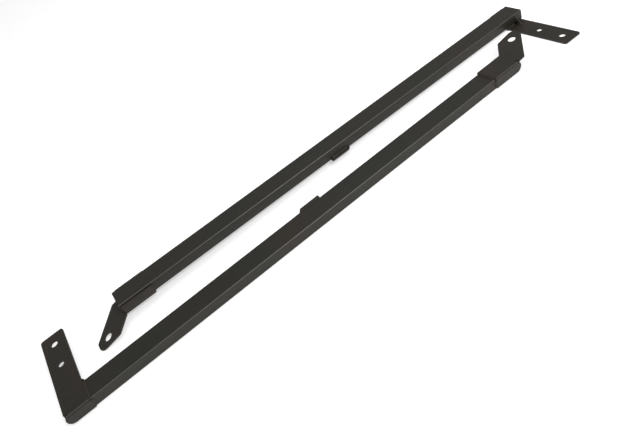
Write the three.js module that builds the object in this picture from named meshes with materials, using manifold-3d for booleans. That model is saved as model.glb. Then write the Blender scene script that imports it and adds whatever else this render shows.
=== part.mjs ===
// A pair of bed cargo bars, left and right hand: each is a rectangular steel tube with a
// two-hole strap bracket at one end, a one-hole ear bracket at the other and a small clip
// near the middle, all joined by fillet welds.
//
// Units are millimetres, +Z is up, and the bars lie along X. Each bar is modelled in its own
// frame: X runs from the strap end to the ear end, Y from the outer side wall to the inner
// one, and Z out of the mounting face, which both brackets cover. The left bar stands on its
// tube with the mounting face up. The right bar is its mirror image, turned over, so it rests
// on its strap and on the tip of its ear.

import * as THREE from "three";
import { mergeVertices } from "three/addons/utils/BufferGeometryUtils.js";
import Module from "manifold-3d";

const wasm = await Module();
wasm.setup();

// Tube
const tubeLength = 1170;
const tubeWidth = 50.8;
const tubeHeight = 25.4;
const tubeWall = 2;
const tubeCorner = 3;

// Sheet metal of the brackets
const sheet = 3.2;
const fitUp = 0.3; // gap between a bracket and what it is welded to
const cornerSegments = 8;

// Strap bracket, with two bolt holes
const strapWidth = 50.8;
const strapReach = 168; // past the tube's inner side wall
const strapCorner = 6;
const nearHoleReach = 73.5;
const farHoleReach = 138;
const nearHoleDiameter = 13;
const farHoleDiameter = 15;
const strapFlangeOverhang = 2.5; // of the outer flange's round end, past the tube's end

// Gusset between the strap and the tube
const gussetFromEnd = 21;
const gussetReach = 17.5;
const gussetHeight = 18.5;
const gussetTip = 1.5;

// Ear bracket, a saddle over the tube with one bolt hole in its bent ear
const saddleLength = 74.5;
const saddleFlangeOverhang = 3;
const leftEarAngle = THREE.MathUtils.degToRad(8.5);
const rightEarAngle = THREE.MathUtils.degToRad(13);
const earFoldInset = 2; // from the fold to the tube's end
const earFoldRadius = 5;
const earHoleDiameter = 18;
const earHoleReach = 51.5; // past the tube's end
const earHoleOffset = 11.7; // past the tube's inner side wall
const earReach = 77; // from the tube's end to the ear's tip
const earOffset = 32.7; // from the tube's inner side wall to the ear's far edge
const earNearStep = 16.3; // past the tube's end, where the near edge turns through 45 degrees
const earFarStep = 26.5; // past the tube's end, where the far edge turns back
const earStepCorner = 5;
const earNearTipCorner = 8;
const earFarTipCorner = 14;
const drillLength = 6 * sheet; // of the cutter, well over the ear's thickness
const holeSides = 8 * cornerSegments;

// Flanges that both brackets fold down over the tube
const outerFlangeStop = 3; // how far the outer flanges stop short of the tube's other face
const innerFlangeStop = 4;
const outerFoldRadius = tubeCorner + fitUp; // inside the fold, concentric with the tube's corner
const innerFoldRadius = 1;
const foldStub = 2; // of a flange's section, on the mounting face past the tube's corner
const nearlyFull = 0.999; // of a full-round end, so that its two arcs don't share a point

// Centre clip
const clipLength = 48;
const clipFromEnd = 577;
const clipReach = 8.5;
const clipSlope = 6.5; // how much longer its root is, at the strap end

// Fillet welds
const weldLeg = 4;
const edgeWeldLeg = 5.5; // of the beads at the inboard edges of the brackets
const weldGap = 0.1; // between a bead and the faces that it joins
const weldInset = 3; // from a bead's end to the corner before it
const weldBulge = 0.62; // of the legs, where the control point of the bead's face lies

// Lie of the two bars
const innerGap = 88.6; // between the two tubes' inner side walls
const endGap = 44; // between each ear's tip and the other bar's strap

const satinBlack = { color: 0x33312d, roughness: 0.55, metalness: 0 };
const weldBlack = { color: 0x2c2b28, roughness: 0.62, metalness: 0 };

const barSpacing = 2 * tubeWidth + innerGap; // between the tubes' outer side walls
const barStagger = tubeLength + earReach + endGap + strapWidth; // between their strap ends
const outerFace = -fitUp - sheet; // outermost Y of both brackets
const topFace = fitUp + sheet; // highest Z of a bracket over the mounting face
const outerFlangeBottom = outerFlangeStop - tubeHeight;
const innerFlangeBottom = innerFlangeStop - tubeHeight;

// Solids

function solidFrom(geometry) {
  const bare = geometry.clone();
  bare.deleteAttribute("normal");
  bare.deleteAttribute("uv");
  const merged = mergeVertices(bare, 1e-4);
  const mesh = new wasm.Mesh({
    numProp: 3,
    vertProperties: merged.attributes.position.array,
    triVerts: new Uint32Array(merged.index.array),
  });
  return new wasm.Manifold(mesh);
}

function geometryFrom(solid) {
  const mesh = solid.getMesh();
  const geometry = new THREE.BufferGeometry();
  geometry.setAttribute("position", new THREE.BufferAttribute(mesh.vertProperties, 3));
  geometry.setIndex(new THREE.BufferAttribute(mesh.triVerts, 1));
  const flat = geometry.toNonIndexed();
  flat.computeVertexNormals();
  return flat;
}

// A plate whose outline lies in the XY plane, from z = low to z = high.
function plateXY(shape, low, high) {
  const geometry = new THREE.ExtrudeGeometry(shape, {
    depth: high - low,
    bevelEnabled: false,
    curveSegments: cornerSegments,
  });
  geometry.translate(0, 0, low);
  return solidFrom(geometry);
}

// A plate whose outline lies in the XZ plane, from y = low to y = high.
function plateXZ(shape, low, high) {
  const geometry = new THREE.ExtrudeGeometry(shape, {
    depth: high - low,
    bevelEnabled: false,
    curveSegments: cornerSegments,
  });
  geometry.rotateX(Math.PI / 2);
  geometry.translate(0, high, 0);
  return solidFrom(geometry);
}

// A bar whose section lies in the YZ plane, from x = low to x = high.
function barYZ(shape, low, high) {
  const geometry = new THREE.ExtrudeGeometry(shape, {
    depth: high - low,
    bevelEnabled: false,
    curveSegments: cornerSegments,
  });
  geometry.rotateX(Math.PI / 2);
  geometry.rotateZ(Math.PI / 2);
  geometry.translate(low, 0, 0);
  return solidFrom(geometry);
}

// Outlines

function polygon(points) {
  return new THREE.Shape(points.map(([u, v]) => new THREE.Vector2(u, v)));
}

// A closed outline through the points, each corner rounded by its own radius.
function roundedPolygon(points) {
  const shape = new THREE.Shape();
  points.forEach(([u, v, radius], i) => {
    const here = new THREE.Vector2(u, v);
    const [pu, pv] = points[(i + points.length - 1) % points.length];
    const [nu, nv] = points[(i + 1) % points.length];
    const back = new THREE.Vector2(pu, pv).sub(here).normalize();
    const on = new THREE.Vector2(nu, nv).sub(here).normalize();
    if (!radius) {
      if (i === 0) shape.moveTo(u, v);
      else shape.lineTo(u, v);
      return;
    }
    const half = Math.acos(back.dot(on)) / 2;
    const along = radius / Math.tan(half);
    const start = back.clone().multiplyScalar(along).add(here);
    const end = on.clone().multiplyScalar(along).add(here);
    const middle = back.clone().add(on).normalize();
    const centre = middle.multiplyScalar(radius / Math.sin(half)).add(here);
    const from = Math.atan2(start.y - centre.y, start.x - centre.x);
    const to = Math.atan2(end.y - centre.y, end.x - centre.x);
    const clockwise = back.x * on.y - back.y * on.x > 0;
    if (i === 0) shape.moveTo(start.x, start.y);
    else shape.lineTo(start.x, start.y);
    shape.absarc(centre.x, centre.y, radius, from, to, clockwise);
  });
  shape.closePath();
  return shape;
}

function circle(u, v, diameter) {
  const path = new THREE.Path();
  path.absarc(u, v, diameter / 2, 0, 2 * Math.PI, false);
  return path;
}

// Pieces, each in the frame of its bar

function mainTube() {
  const w = tubeWidth;
  const h = tubeHeight;
  const section = roundedPolygon([
    [0, -h, tubeCorner],
    [w, -h, tubeCorner],
    [w, 0, tubeCorner],
    [0, 0, tubeCorner],
  ]);
  const inner = tubeCorner - tubeWall;
  const low = tubeWall;
  const bore = roundedPolygon([
    [low, low - h, inner],
    [w - low, low - h, inner],
    [w - low, -low, inner],
    [low, -low, inner],
  ]);
  section.holes.push(new THREE.Path(bore.getPoints(cornerSegments)));
  return barYZ(section, 0, tubeLength);
}

// The section of a flange that folds down over a side wall of the tube: a short flat stub on
// the mounting face, the fold, and the flange down to z = bottom. It is drawn for the outer
// wall, at y = 0.
function flangeSection(bottom, foldRadius) {
  const centreY = foldRadius - fitUp;
  const centreZ = fitUp - foldRadius;
  const section = new THREE.Shape();
  section.moveTo(tubeCorner + foldStub, topFace);
  section.absarc(centreY, centreZ, foldRadius + sheet, Math.PI / 2, Math.PI, false);
  section.lineTo(outerFace, bottom);
  section.lineTo(-fitUp, bottom);
  section.absarc(centreY, centreZ, foldRadius, Math.PI, Math.PI / 2, true);
  section.lineTo(tubeCorner + foldStub, fitUp);
  section.closePath();
  return section;
}

// An outer flange between x = square and x = round, where it ends in a full radius. The
// outline cuts it from stock that is thicker than the flange.
function outerFlange(square, round) {
  const low = Math.min(square, round);
  const high = Math.max(square, round);
  const section = flangeSection(outerFlangeBottom, outerFoldRadius);
  const full = ((topFace - outerFlangeBottom) / 2) * nearlyFull;
  const leftCorner = square < round ? 0 : full;
  const rightCorner = square < round ? full : 0;
  const outline = roundedPolygon([
    [low, outerFlangeBottom, leftCorner],
    [high, outerFlangeBottom, rightCorner],
    [high, topFace, rightCorner],
    [low, topFace, leftCorner],
  ]);
  const stock = plateXZ(outline, 2 * outerFace, 2 * (tubeCorner + foldStub));
  return barYZ(section, low, high).intersect(stock);
}

function strapBracket() {
  const end = tubeWidth + strapReach;
  const outline = roundedPolygon([
    [0, tubeCorner, 0],
    [strapWidth, tubeCorner, 0],
    [strapWidth, end, strapCorner],
    [0, end, strapCorner],
  ]);
  const middle = strapWidth / 2;
  outline.holes.push(circle(middle, tubeWidth + nearHoleReach, nearHoleDiameter));
  outline.holes.push(circle(middle, tubeWidth + farHoleReach, farHoleDiameter));
  return plateXY(outline, fitUp, topFace).add(outerFlange(strapWidth, -strapFlangeOverhang));
}

function gusset() {
  const root = tubeWidth + fitUp;
  const tip = tubeWidth + gussetReach;
  const outline = polygon([
    [root, 0],
    [root, -gussetHeight],
    [root + gussetTip, -gussetHeight],
    [tip, -gussetTip],
    [tip, 0],
  ]);
  return barYZ(outline, gussetFromEnd - sheet / 2, gussetFromEnd + sheet / 2);
}

// The side view of the plate that covers the tube's end and bends up into the ear. It runs
// on past the ear's tip, where the ear's outline cuts it.
function earProfile(start, angle) {
  const foldX = tubeLength - earFoldInset;
  const foldZ = topFace + earFoldRadius;
  const down = -Math.PI / 2;
  const straight = 2 * earReach;
  const runX = straight * Math.cos(angle);
  const runZ = straight * Math.sin(angle);
  const profile = new THREE.Shape();
  profile.moveTo(start, fitUp);
  profile.absarc(foldX, foldZ, earFoldRadius + sheet, down, down + angle, false);
  profile.lineTo(profile.currentPoint.x + runX, profile.currentPoint.y + runZ);
  profile.lineTo(
    foldX + earFoldRadius * Math.sin(angle) + runX,
    foldZ - earFoldRadius * Math.cos(angle) + runZ,
  );
  profile.absarc(foldX, foldZ, earFoldRadius, down + angle, down, true);
  profile.lineTo(start, topFace);
  profile.closePath();
  return profile;
}

// Height of the ear's middle surface over the mounting face, at a distance past the tube's end.
function earHeight(reach, angle) {
  const kneeRadius = earFoldRadius + sheet / 2;
  const knee = kneeRadius * Math.tan(angle / 2) - earFoldInset;
  return fitUp + sheet / 2 + (reach - knee) * Math.tan(angle);
}

// The ear's near edge turns off at 45 degrees, and its far edge turns back at 45 degrees.
function earOutline(start) {
  const near = outerFace;
  const far = tubeWidth + fitUp + sheet;
  const farEdge = tubeWidth + earOffset;
  const tip = tubeLength + earReach;
  const nearStep = tubeLength + earNearStep;
  const farStep = tubeLength + earFarStep;
  return roundedPolygon([
    [start, tubeCorner, 0],
    [tubeLength - earFoldInset, tubeCorner, 0],
    [tubeLength - earFoldInset, near, 0],
    [nearStep, near, earStepCorner],
    [tip, near + tip - nearStep, earNearTipCorner],
    [tip, farEdge, earFarTipCorner],
    [farStep, farEdge, earStepCorner],
    [farStep - farEdge + far, far, 0],
    [farStep - farEdge + far, tubeWidth - tubeCorner, 0],
    [start, tubeWidth - tubeCorner, 0],
  ]);
}

function earBracket(angle) {
  const start = tubeLength - saddleLength;
  const plate = plateXZ(earProfile(start, angle), 2 * outerFace, tubeWidth + 2 * earOffset);
  const ear = plate.intersect(plateXY(earOutline(start), -tubeHeight, earReach));
  const drillRadius = earHoleDiameter / 2;
  const drill = new THREE.CylinderGeometry(drillRadius, drillRadius, drillLength, holeSides);
  drill.rotateX(Math.PI / 2);
  drill.rotateY(-angle);
  drill.translate(
    tubeLength + earHoleReach,
    tubeWidth + earHoleOffset,
    earHeight(earHoleReach, angle),
  );
  const outer = outerFlange(start, tubeLength + saddleFlangeOverhang);
  const innerEnd = tubeLength + earFarStep - earOffset + fitUp + sheet;
  const inner = barYZ(flangeSection(innerFlangeBottom, innerFoldRadius), start, innerEnd);
  const facing = inner.mirror([0, 1, 0]).translate([0, tubeWidth, 0]);
  return ear.add(outer).add(facing).subtract(solidFrom(drill));
}

function centreClip() {
  const root = tubeWidth + fitUp;
  const edge = tubeWidth + clipReach;
  const end = clipFromEnd + clipLength;
  const outline = polygon([
    [clipFromEnd - clipSlope, root],
    [end, root],
    [end, edge],
    [clipFromEnd, edge],
  ]);
  return plateXY(outline, -sheet, 0);
}

// The section of a fillet weld, with two legs and a slightly bulging face. Its origin is the
// corner where the two joined faces would meet, and a leg's sign says which way it points.
function weldSection(legU, legV) {
  const bead = new THREE.Shape();
  const gapU = Math.sign(legU) * weldGap;
  const gapV = Math.sign(legV) * weldGap;
  bead.moveTo(gapU, gapV);
  bead.lineTo(legU, gapV);
  bead.quadraticCurveTo(legU * weldBulge, legV * weldBulge, gapU, legV);
  bead.closePath();
  return bead;
}

function weldAlongX(corner, legY, legZ, low, high) {
  return barYZ(weldSection(legY, legZ), low, high).translate([0, corner[0], corner[1]]);
}

function weldAlongY(corner, legX, legZ, low, high) {
  return plateXZ(weldSection(legX, legZ), low, high).translate([corner[0], 0, corner[1]]);
}

function weldAlongZ(corner, legX, legY, low, high) {
  return plateXY(weldSection(legX, legY), low, high).translate([corner[0], corner[1], 0]);
}

function welds() {
  const inside = tubeWidth;
  const saddleStart = tubeLength - saddleLength;
  const gussetFace = gussetFromEnd + sheet / 2;
  const first = weldInset;
  const last = tubeWidth - weldInset;
  const outerLow = outerFlangeBottom + weldInset;
  const innerLow = innerFlangeBottom + weldInset;
  const wall = sheet + fitUp;
  return {
    strap_top_weld: weldAlongY([strapWidth, 0], edgeWeldLeg, wall, first, last),
    strap_side_weld: weldAlongZ([strapWidth, 0], edgeWeldLeg, -wall, outerLow, -weldInset),
    strap_corner_weld: weldAlongZ([strapWidth, inside], weldLeg, weldLeg, -weldInset, topFace),
    strap_seam_weld: weldAlongX(
      [inside, fitUp],
      weldLeg,
      -weldLeg,
      gussetFace + weldLeg + weldGap,
      strapWidth,
    ),
    gusset_side_weld: weldAlongZ(
      [gussetFace, inside],
      weldLeg,
      weldLeg,
      gussetTip - gussetHeight,
      fitUp - weldLeg - weldGap,
    ),
    gusset_foot_weld: weldAlongY(
      [gussetFace, fitUp],
      weldLeg,
      -weldLeg,
      inside + weldLeg + weldGap,
      inside + gussetReach - gussetTip,
    ),
    saddle_top_weld: weldAlongY([saddleStart, 0], -edgeWeldLeg, wall, first, last),
    saddle_outer_weld: weldAlongZ([saddleStart, 0], -edgeWeldLeg, -wall, outerLow, -weldInset),
    saddle_inner_weld: weldAlongZ(
      [saddleStart, inside],
      -edgeWeldLeg,
      wall,
      innerLow,
      -weldInset,
    ),
    clip_weld: weldAlongX(
      [inside, -sheet],
      weldLeg,
      -weldLeg,
      clipFromEnd,
      clipFromEnd + clipLength - weldInset,
    ),
  };
}

// Assembly

function named(name, solid, finish) {
  const mesh = new THREE.Mesh(geometryFrom(solid), new THREE.MeshStandardMaterial(finish));
  mesh.name = name;
  return mesh;
}

function cargoBar(side, earAngle) {
  const bar = new THREE.Group();
  bar.add(named(side + "_main_tube", mainTube(), satinBlack));
  bar.add(named(side + "_strap_bracket", strapBracket(), satinBlack));
  bar.add(named(side + "_gusset", gusset(), satinBlack));
  bar.add(named(side + "_ear_bracket", earBracket(earAngle), satinBlack));
  bar.add(named(side + "_centre_clip", centreClip(), satinBlack));
  for (const [name, solid] of Object.entries(welds())) {
    bar.add(named(side + "_" + name, solid, weldBlack));
  }
  return bar;
}

function standOnFloor(group) {
  const box = new THREE.Box3().setFromObject(group, true);
  group.position.z -= box.min.z;
}

const leftBar = cargoBar("left", leftEarAngle);
standOnFloor(leftBar);

// The right bar is the left one inverted through its corner, which makes it the other hand
// and turns it over. It leans until the strap's end edge and the ear's tip both touch down.
const tipMiddle = earHeight(earReach, rightEarAngle);
const tipHeight = tipMiddle + sheet / 2 / Math.cos(rightEarAngle);
const rightBar = cargoBar("right", rightEarAngle);
rightBar.scale.set(-1, -1, -1);
rightBar.rotation.y = Math.atan2(tipHeight - topFace, tubeLength + earReach);
rightBar.position.set(barStagger, barSpacing, 0);
standOnFloor(rightBar);

// The origin is under the middle of the pair's box, on the floor.
const part = new THREE.Group();
part.name = "bed_cargo_bars";
part.add(leftBar, rightBar);
const middle = new THREE.Box3().setFromObject(part, true).getCenter(new THREE.Vector3());
for (const bar of [leftBar, rightBar]) {
  bar.position.x -= middle.x;
  bar.position.y -= middle.y;
}

export default part;
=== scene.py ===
# A left- and right-hand pair of bed cargo bars, laid side by side and head to tail. Each is
# welded up from steel tube and folded sheet, and sprayed satin black.

import math

import bmesh
import bpy
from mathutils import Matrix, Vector, noise


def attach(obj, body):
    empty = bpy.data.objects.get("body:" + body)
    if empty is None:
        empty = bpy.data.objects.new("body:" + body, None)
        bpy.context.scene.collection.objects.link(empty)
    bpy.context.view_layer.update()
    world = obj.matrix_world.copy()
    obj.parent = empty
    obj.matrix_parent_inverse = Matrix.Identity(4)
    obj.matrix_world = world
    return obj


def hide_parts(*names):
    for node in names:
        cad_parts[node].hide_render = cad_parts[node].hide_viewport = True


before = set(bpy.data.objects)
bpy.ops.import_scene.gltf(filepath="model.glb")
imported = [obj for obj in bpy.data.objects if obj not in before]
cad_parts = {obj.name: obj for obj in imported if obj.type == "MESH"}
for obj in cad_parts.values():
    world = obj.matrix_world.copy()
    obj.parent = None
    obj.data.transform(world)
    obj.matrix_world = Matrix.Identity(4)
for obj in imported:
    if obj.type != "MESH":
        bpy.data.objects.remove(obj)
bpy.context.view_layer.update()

scene = bpy.context.scene


# ---- Camera ----
# A slightly wide lens looks down on the pair from the front, a little left of its middle,
# and leans over, so the bars run from the lower left to the upper right.

CAMERA_PLACE = (-0.3303, -0.9104, 0.7812)
CAMERA_TURN = (47.0, 20.05, -35.05)
LENS_MM = 31.9
SENSOR_MM = 36
LENS_SHIFT = (0.0084, -0.028)
NEAREST = 0.01

camera = bpy.data.objects.new("camera", bpy.data.cameras.new("camera"))
scene.collection.objects.link(camera)
camera.location = CAMERA_PLACE
camera.rotation_euler = [math.radians(angle) for angle in CAMERA_TURN]
camera.data.sensor_width = SENSOR_MM
camera.data.lens = LENS_MM
camera.data.shift_x, camera.data.shift_y = LENS_SHIFT
camera.data.clip_start = NEAREST
scene.camera = camera


# ---- Floor and light ----
# A white acrylic light table, which washes out most shadows, with a soft box high up behind
# on the right and a strip in front. The studio is dim half way up, so flat tops stay dark.

FLOOR_HALF_WIDTH = 14.0
FLOOR_WHITE = "#f0f0f0"
TABLE_GLOW = 0.48
# sine of the height over the horizon, and how bright the studio is there
STUDIO_BANDS = ((0.0, 1.0), (0.1, 0.9), (0.32, 0.3), (0.8, 0.32), (0.95, 0.75))
# name, place, size and watts; the strip stands in front, where the rounded edges mirror it
SOFT_BOXES = (
    ("key_soft_box", (0.9, 0.7, 3.0), (2.6, 2.2), 22),
    ("strip_soft_box", (0.6, -1.8, 2.05), (1.2, 0.4), 32),
)


def linear(hex_colour):
    channels = [int(hex_colour[i:i + 2], 16) / 255 for i in (1, 3, 5)]
    return (*(c / 12.92 if c <= 0.04045 else ((c + 0.055) / 1.055) ** 2.4 for c in channels), 1.0)


def add_node(tree, kind, values=None, links=None, **settings):
    """Adds a node with its settings, its sockets' values and the outputs linked to them."""
    node = tree.nodes.new(kind)
    for name, setting in settings.items():
        setattr(node, name, setting)
    for socket, value in (values or {}).items():
        node.inputs[socket].default_value = value
    for socket, source in (links or {}).items():
        tree.links.new(source, node.inputs[socket])
    return node


def empty_tree(owner):
    owner.use_nodes = True
    owner.node_tree.nodes.clear()
    return owner.node_tree


floor_mesh = bmesh.new()
bmesh.ops.create_grid(floor_mesh, x_segments=1, y_segments=1, size=FLOOR_HALF_WIDTH)
floor = bpy.data.objects.new("floor", bpy.data.meshes.new("floor"))
floor_mesh.to_mesh(floor.data)
floor_mesh.free()
scene.collection.objects.link(floor)
# lit from below, it glows evenly and keeps shadows faint
opal_acrylic = bpy.data.materials.new("opal_acrylic_light_table")
tree = empty_tree(opal_acrylic)
surface = add_node(tree, "ShaderNodeBsdfPrincipled",
                   {"Base Color": linear(FLOOR_WHITE), "Roughness": 1, "Specular IOR Level": 0,
                    "Emission Color": linear("#ffffff"), "Emission Strength": TABLE_GLOW})
add_node(tree, "ShaderNodeOutputMaterial", links={"Surface": surface.outputs[0]})
floor.data.materials.append(opal_acrylic)

scene.world = bpy.data.worlds.new("studio")
tree = empty_tree(scene.world)
direction = add_node(tree, "ShaderNodeTexCoord").outputs["Generated"]
height = add_node(tree, "ShaderNodeSeparateXYZ", links={0: direction}).outputs["Z"]
bands = add_node(tree, "ShaderNodeValToRGB", links={"Fac": height})
while len(bands.color_ramp.elements) < len(STUDIO_BANDS):
    bands.color_ramp.elements.new(0.5)
for element, (position, grey) in zip(bands.color_ramp.elements, STUDIO_BANDS):
    element.position = position
    element.color = (grey, grey, grey, 1.0)
studio = add_node(tree, "ShaderNodeBackground", links={"Color": bands.outputs["Color"]})
add_node(tree, "ShaderNodeOutputWorld", links={"Surface": studio.outputs[0]})

for name, place, size, watts in SOFT_BOXES:
    lamp = bpy.data.objects.new(name, bpy.data.lights.new(name, "AREA"))
    lamp.data.shape = "RECTANGLE"
    lamp.data.size, lamp.data.size_y = size
    lamp.data.energy = watts
    lamp.location = place
    lamp.rotation_euler = (-Vector(place)).to_track_quat("-Z", "Y").to_euler()
    scene.collection.objects.link(lamp)
scene.view_settings.view_transform = "Standard"


# ---- Main tubes ----
# Rectangular steel tube, 2 by 1 inch with a 2 mm wall and rounded corners, sawn to length,
# deburred and left open at both ends. Everything else is welded to it before it is painted.

MM = 0.001
SIDES = ("left", "right")
SAME_POINT = 0.06 * MM  # joins the slivers where two arcs of a round end meet
FLAT = math.radians(1)
SHARP = math.radians(30)
TUBE_EDGE = 0.35 * MM
TUBE_RIDGE = 0.45  # how far a face must turn both sideways and up or down to take the painted highlight
ORANGE_PEEL = 1.0 * MM  # across one dimple
PEEL_DEPTH = 0.06 * MM
DUST_SPECK = 1.6 * MM
SMEAR = 22 * MM
CLOUD = 110 * MM
SCUFF_ALONG = 70 * MM
SCUFF_ACROSS = 2.2 * MM
DUST = "#6a655c"
SCUFFED = "#514e48"
# noise levels over which each pattern comes in, and the most that scuffs and dust cover
CLOUD_TURN = (0.35, 0.65)
SCUFF_LEVELS = (0.6, 0.8)
DUST_LEVELS = (0.62, 0.8)
SMEAR_LEVELS = (0.3, 0.7)
MOST_COVER = 0.3
ENAMEL_IOR = 1.4
BEVEL_CUTS = 2
FLAT_FACES_RULE = 100  # Weighted Normal's weight, at its highest
# sockets of a colour Mix node, which shares its names between kinds of value
MIX_FACTOR, MIX_A, MIX_B, MIX_RESULT = 0, 6, 7, 2


def satin_black(name, warm, green, roughness, peel, offset):
    """Satin black enamel: a soft sheen over an orange peel, from brown-black to green-black in
    wide clouds, with hand smears in the gloss, faint scuffs along the bar and a little dust."""
    material = bpy.data.materials.new(name)
    tree = empty_tree(material)
    place = add_node(tree, "ShaderNodeTexCoord").outputs["Object"]
    spot = add_node(tree, "ShaderNodeMapping", {"Location": offset}, {"Vector": place}).outputs[0]

    cloud = add_node(tree, "ShaderNodeTexNoise", {"Scale": 1 / CLOUD, "Detail": 4}, {"Vector": spot})
    tone = add_node(tree, "ShaderNodeValToRGB", links={"Fac": cloud.outputs["Fac"]})
    tone.color_ramp.elements[0].position = CLOUD_TURN[0]
    tone.color_ramp.elements[0].color = linear(warm)
    tone.color_ramp.elements[1].position = CLOUD_TURN[1]
    tone.color_ramp.elements[1].color = linear(green)

    stretch = (1 / SCUFF_ALONG, 1 / SCUFF_ACROSS, 1 / SCUFF_ACROSS)
    grain = add_node(tree, "ShaderNodeMapping", {"Scale": stretch}, {"Vector": spot}).outputs[0]
    streak = add_node(tree, "ShaderNodeTexNoise", {"Scale": 1, "Detail": 3}, {"Vector": grain})
    scuff = add_node(tree, "ShaderNodeMapRange",
                     {"From Min": SCUFF_LEVELS[0], "From Max": SCUFF_LEVELS[1],
                      "To Max": MOST_COVER},
                     {"Value": streak.outputs["Fac"]})
    scuffed = add_node(tree, "ShaderNodeMix", {MIX_B: linear(SCUFFED)},
                       {MIX_FACTOR: scuff.outputs[0], MIX_A: tone.outputs["Color"]},
                       data_type="RGBA")

    grit = add_node(tree, "ShaderNodeTexNoise", {"Scale": 1 / DUST_SPECK, "Detail": 3},
                    {"Vector": spot})
    speck = add_node(tree, "ShaderNodeMapRange",
                     {"From Min": DUST_LEVELS[0], "From Max": DUST_LEVELS[1],
                      "To Max": MOST_COVER},
                     {"Value": grit.outputs["Fac"]})
    dusty = add_node(tree, "ShaderNodeMix", {MIX_B: linear(DUST)},
                     {MIX_FACTOR: speck.outputs[0], MIX_A: scuffed.outputs[MIX_RESULT]},
                     data_type="RGBA")

    hands = add_node(tree, "ShaderNodeTexNoise", {"Scale": 1 / SMEAR, "Detail": 5},
                     {"Vector": spot})
    sheen = add_node(tree, "ShaderNodeMapRange",
                     {"From Min": SMEAR_LEVELS[0], "From Max": SMEAR_LEVELS[1],
                      "To Min": roughness[0], "To Max": roughness[1]},
                     {"Value": hands.outputs["Fac"]})

    dimples = add_node(tree, "ShaderNodeTexNoise", {"Scale": 1 / ORANGE_PEEL, "Detail": 2},
                       {"Vector": spot})
    bump = add_node(tree, "ShaderNodeBump", {"Strength": peel, "Distance": PEEL_DEPTH},
                    {"Height": dimples.outputs["Fac"]})

    enamel = add_node(tree, "ShaderNodeBsdfPrincipled", {"IOR": ENAMEL_IOR},
                      {"Base Color": dusty.outputs[MIX_RESULT], "Roughness": sheen.outputs[0],
                       "Normal": bump.outputs[0]})
    add_node(tree, "ShaderNodeOutputMaterial", links={"Surface": enamel.outputs[0]})
    return material


def copy_of(node):
    """A mesh of the node's own shape, with its loose triangles joined and its flats whole."""
    mesh = bmesh.new()
    mesh.from_mesh(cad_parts[node].data)
    bmesh.ops.remove_doubles(mesh, verts=mesh.verts, dist=SAME_POINT)
    bmesh.ops.dissolve_limit(mesh, angle_limit=FLAT, verts=mesh.verts, edges=mesh.edges)
    return mesh


def add_piece(mesh, node, paints, side):
    piece = bpy.data.objects.new(node + "_finished", bpy.data.meshes.new(node + "_finished"))
    mesh.to_mesh(piece.data)
    mesh.free()
    scene.collection.objects.link(piece)
    for paint in paints:
        piece.data.materials.append(paint)
    piece.data.polygons.foreach_set("use_smooth", [True] * len(piece.data.polygons))
    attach(piece, side + "_bar")
    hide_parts(node)
    return piece


def paint_ridge_highlights(mesh, least_turn):
    """Gives the middle of each rounded corner that runs along the bar its second paint, a painted
    highlight.
    """
    mesh.normal_update()
    for face in mesh.faces:
        if min(abs(face.normal.y), abs(face.normal.z)) > least_turn:
            face.material_index = 1


def ease_edges(piece, width):
    """Rounds a piece's sharp edges and gives them its second paint, a painted highlight. The bevel
    narrows itself to what the piece's tightest spot allows, which is far less than the width asked
    for."""
    bevel = piece.modifiers.new("eased_edges", "BEVEL")
    bevel.width = width
    bevel.segments = BEVEL_CUTS
    bevel.limit_method = "ANGLE"
    bevel.angle_limit = SHARP
    # the bevels take the second paint, a painted highlight
    bevel.material = 1
    flats = piece.modifiers.new("even_flats", "WEIGHTED_NORMAL")
    flats.weight = FLAT_FACES_RULE


# an even sprayed coat: a soft, wide sheen along the tube's long flats
tube_paint = satin_black("satin_black_on_tube", "#28221b", "#20221b", (0.4, 0.54), 0.35, (0, 0, 0))
# on the edges and rounded ridges the coat is painted paler, a painted highlight, and is glossier
edge_highlight_paint = satin_black("satin_black_painted_highlight_on_edges", "#56534b", "#525149", (0.3, 0.4), 0.2,
                         (0.4, 0.1, 0))
for side in SIDES:
    node = side + "_main_tube"
    mesh = copy_of(node)
    # a painted highlight down the middle of each rounded corner of the tube
    paint_ridge_highlights(mesh, TUBE_RIDGE)
    tube = add_piece(mesh, node, (tube_paint, edge_highlight_paint), side)
    ease_edges(tube, TUBE_EDGE)


# ---- Brackets, gussets and clips ----
# Laser-cut 3.2 mm sheet: a strap and an ear bracket, each folded down over the tube in a
# press, a small triangular gusset and a flat clip. The cut edges are only just broken.

SHEET_EDGE = 0.45 * MM
FOLD_RIDGE = 0.6

# the same coat on flat sheet, which looks a touch browner and duller than the tube
sheet_paint = satin_black("satin_black_on_sheet", "#2a231c", "#23211b", (0.42, 0.56), 0.3,
                          (0.2, 0.7, 0.3))
for side in SIDES:
    for part in ("strap_bracket", "gusset", "ear_bracket", "centre_clip"):
        node = side + "_" + part
        mesh = copy_of(node)
        if part.endswith("bracket"):
            # a painted highlight along the middle of each bracket's folds
            paint_ridge_highlights(mesh, FOLD_RIDGE)
        # the paler second paint is a painted highlight on the sheet's edges and folds
        plate = add_piece(mesh, node, (sheet_paint, edge_highlight_paint), side)
        ease_edges(plate, SHEET_EDGE)


# ---- Weld beads ----
# Fillet welds laid by hand: overlapping scales about 2 mm apart, a wandering width and round
# ends, fused into the steel on both sides, under the same paint.

SCALE_PITCH = 2.0 * MM
SCALE_DEPTH = 0.22 * MM
CUTS_PER_SCALE = 6
SCALE_CURVE = 0.9  # how far, in pitches, a scale's ends trail its middle
ROUND_END = 1.6 * MM
THINNEST_END = 0.45
PARALLEL = 0.99  # cosine over which an edge counts as running along the bead
WANDER = 0.1
WANDER_LENGTH = 7 * MM
FUSED = 0.16 * MM
WELDS = ("strap_top_weld", "strap_side_weld", "strap_corner_weld", "strap_seam_weld",
         "gusset_side_weld", "gusset_foot_weld", "saddle_top_weld", "saddle_outer_weld",
         "saddle_inner_weld", "clip_weld")


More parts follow.
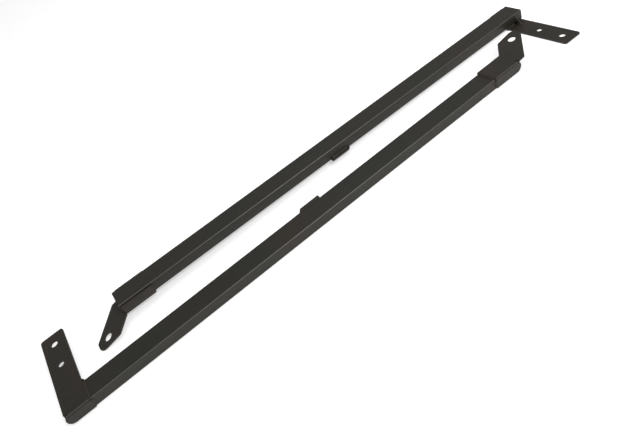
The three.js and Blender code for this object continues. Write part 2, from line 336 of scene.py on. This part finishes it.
def lay_scales(mesh, number):
    """Turns a straight bead of three-sided section into a run of weld scales."""
    longest = max(mesh.edges, key=lambda edge: edge.calc_length())
    length = longest.calc_length()
    along = (longest.verts[1].co - longest.verts[0].co).normalized()
    runs = [e for e in mesh.edges
            if abs((e.verts[1].co - e.verts[0].co).normalized().dot(along)) > PARALLEL]
    base = min(vert.co.dot(along) for vert in mesh.verts)
    cap = [vert for vert in mesh.verts if vert.co.dot(along) - base < 0.5 * length]
    rims = {vert: [edge for edge in vert.link_edges if edge not in runs] for vert in cap}
    corner = max(cap, key=lambda vert: sum(edge.calc_length() for edge in rims[vert]))
    legs = [edge.other_vert(corner).co - corner.co for edge in rims[corner]]
    root = corner.co - along * (corner.co.dot(along) - base)
    cuts = round(length / SCALE_PITCH * CUTS_PER_SCALE)
    bmesh.ops.subdivide_edges(mesh, edges=runs, cuts=cuts, use_grid_fill=True)
    for vert in mesh.verts:
        run = vert.co.dot(along) - base
        arm = vert.co - root - along * run
        shares = [arm.dot(leg) / leg.length_squared for leg in legs]
        swell = min(1.0, max(0.0, 4 * shares[0] * shares[1]))
        trail = SCALE_CURVE * (shares[0] - shares[1]) ** 2
        groove = 1 - abs(math.sin(math.pi * (run / SCALE_PITCH + trail)))
        wander = noise.noise(Vector((run / WANDER_LENGTH, number, 0)))
        to_end = min(1.0, max(0.0, min(run, length - run) / ROUND_END))
        size = max(THINNEST_END, math.sqrt(1 - (1 - to_end) ** 2)) * (1 - WANDER * abs(wander))
        inward = -(legs[0].normalized() + legs[1].normalized()).normalized()
        vert.co = root + along * run + arm * size + inward * (FUSED + SCALE_DEPTH * swell * groove)


# over a rough bead the coat dries dullest, with the coarsest peel
weld_paint = satin_black("satin_black_on_welds", "#28221b", "#23211b", (0.45, 0.6), 0.5,
                         (0.6, 0.2, 0.9))
number = 0
for side in SIDES:
    for part in WELDS:
        number += 1
        node = side + "_" + part
        bead = copy_of(node)
        lay_scales(bead, number)
        add_piece(bead, node, (weld_paint,), side)
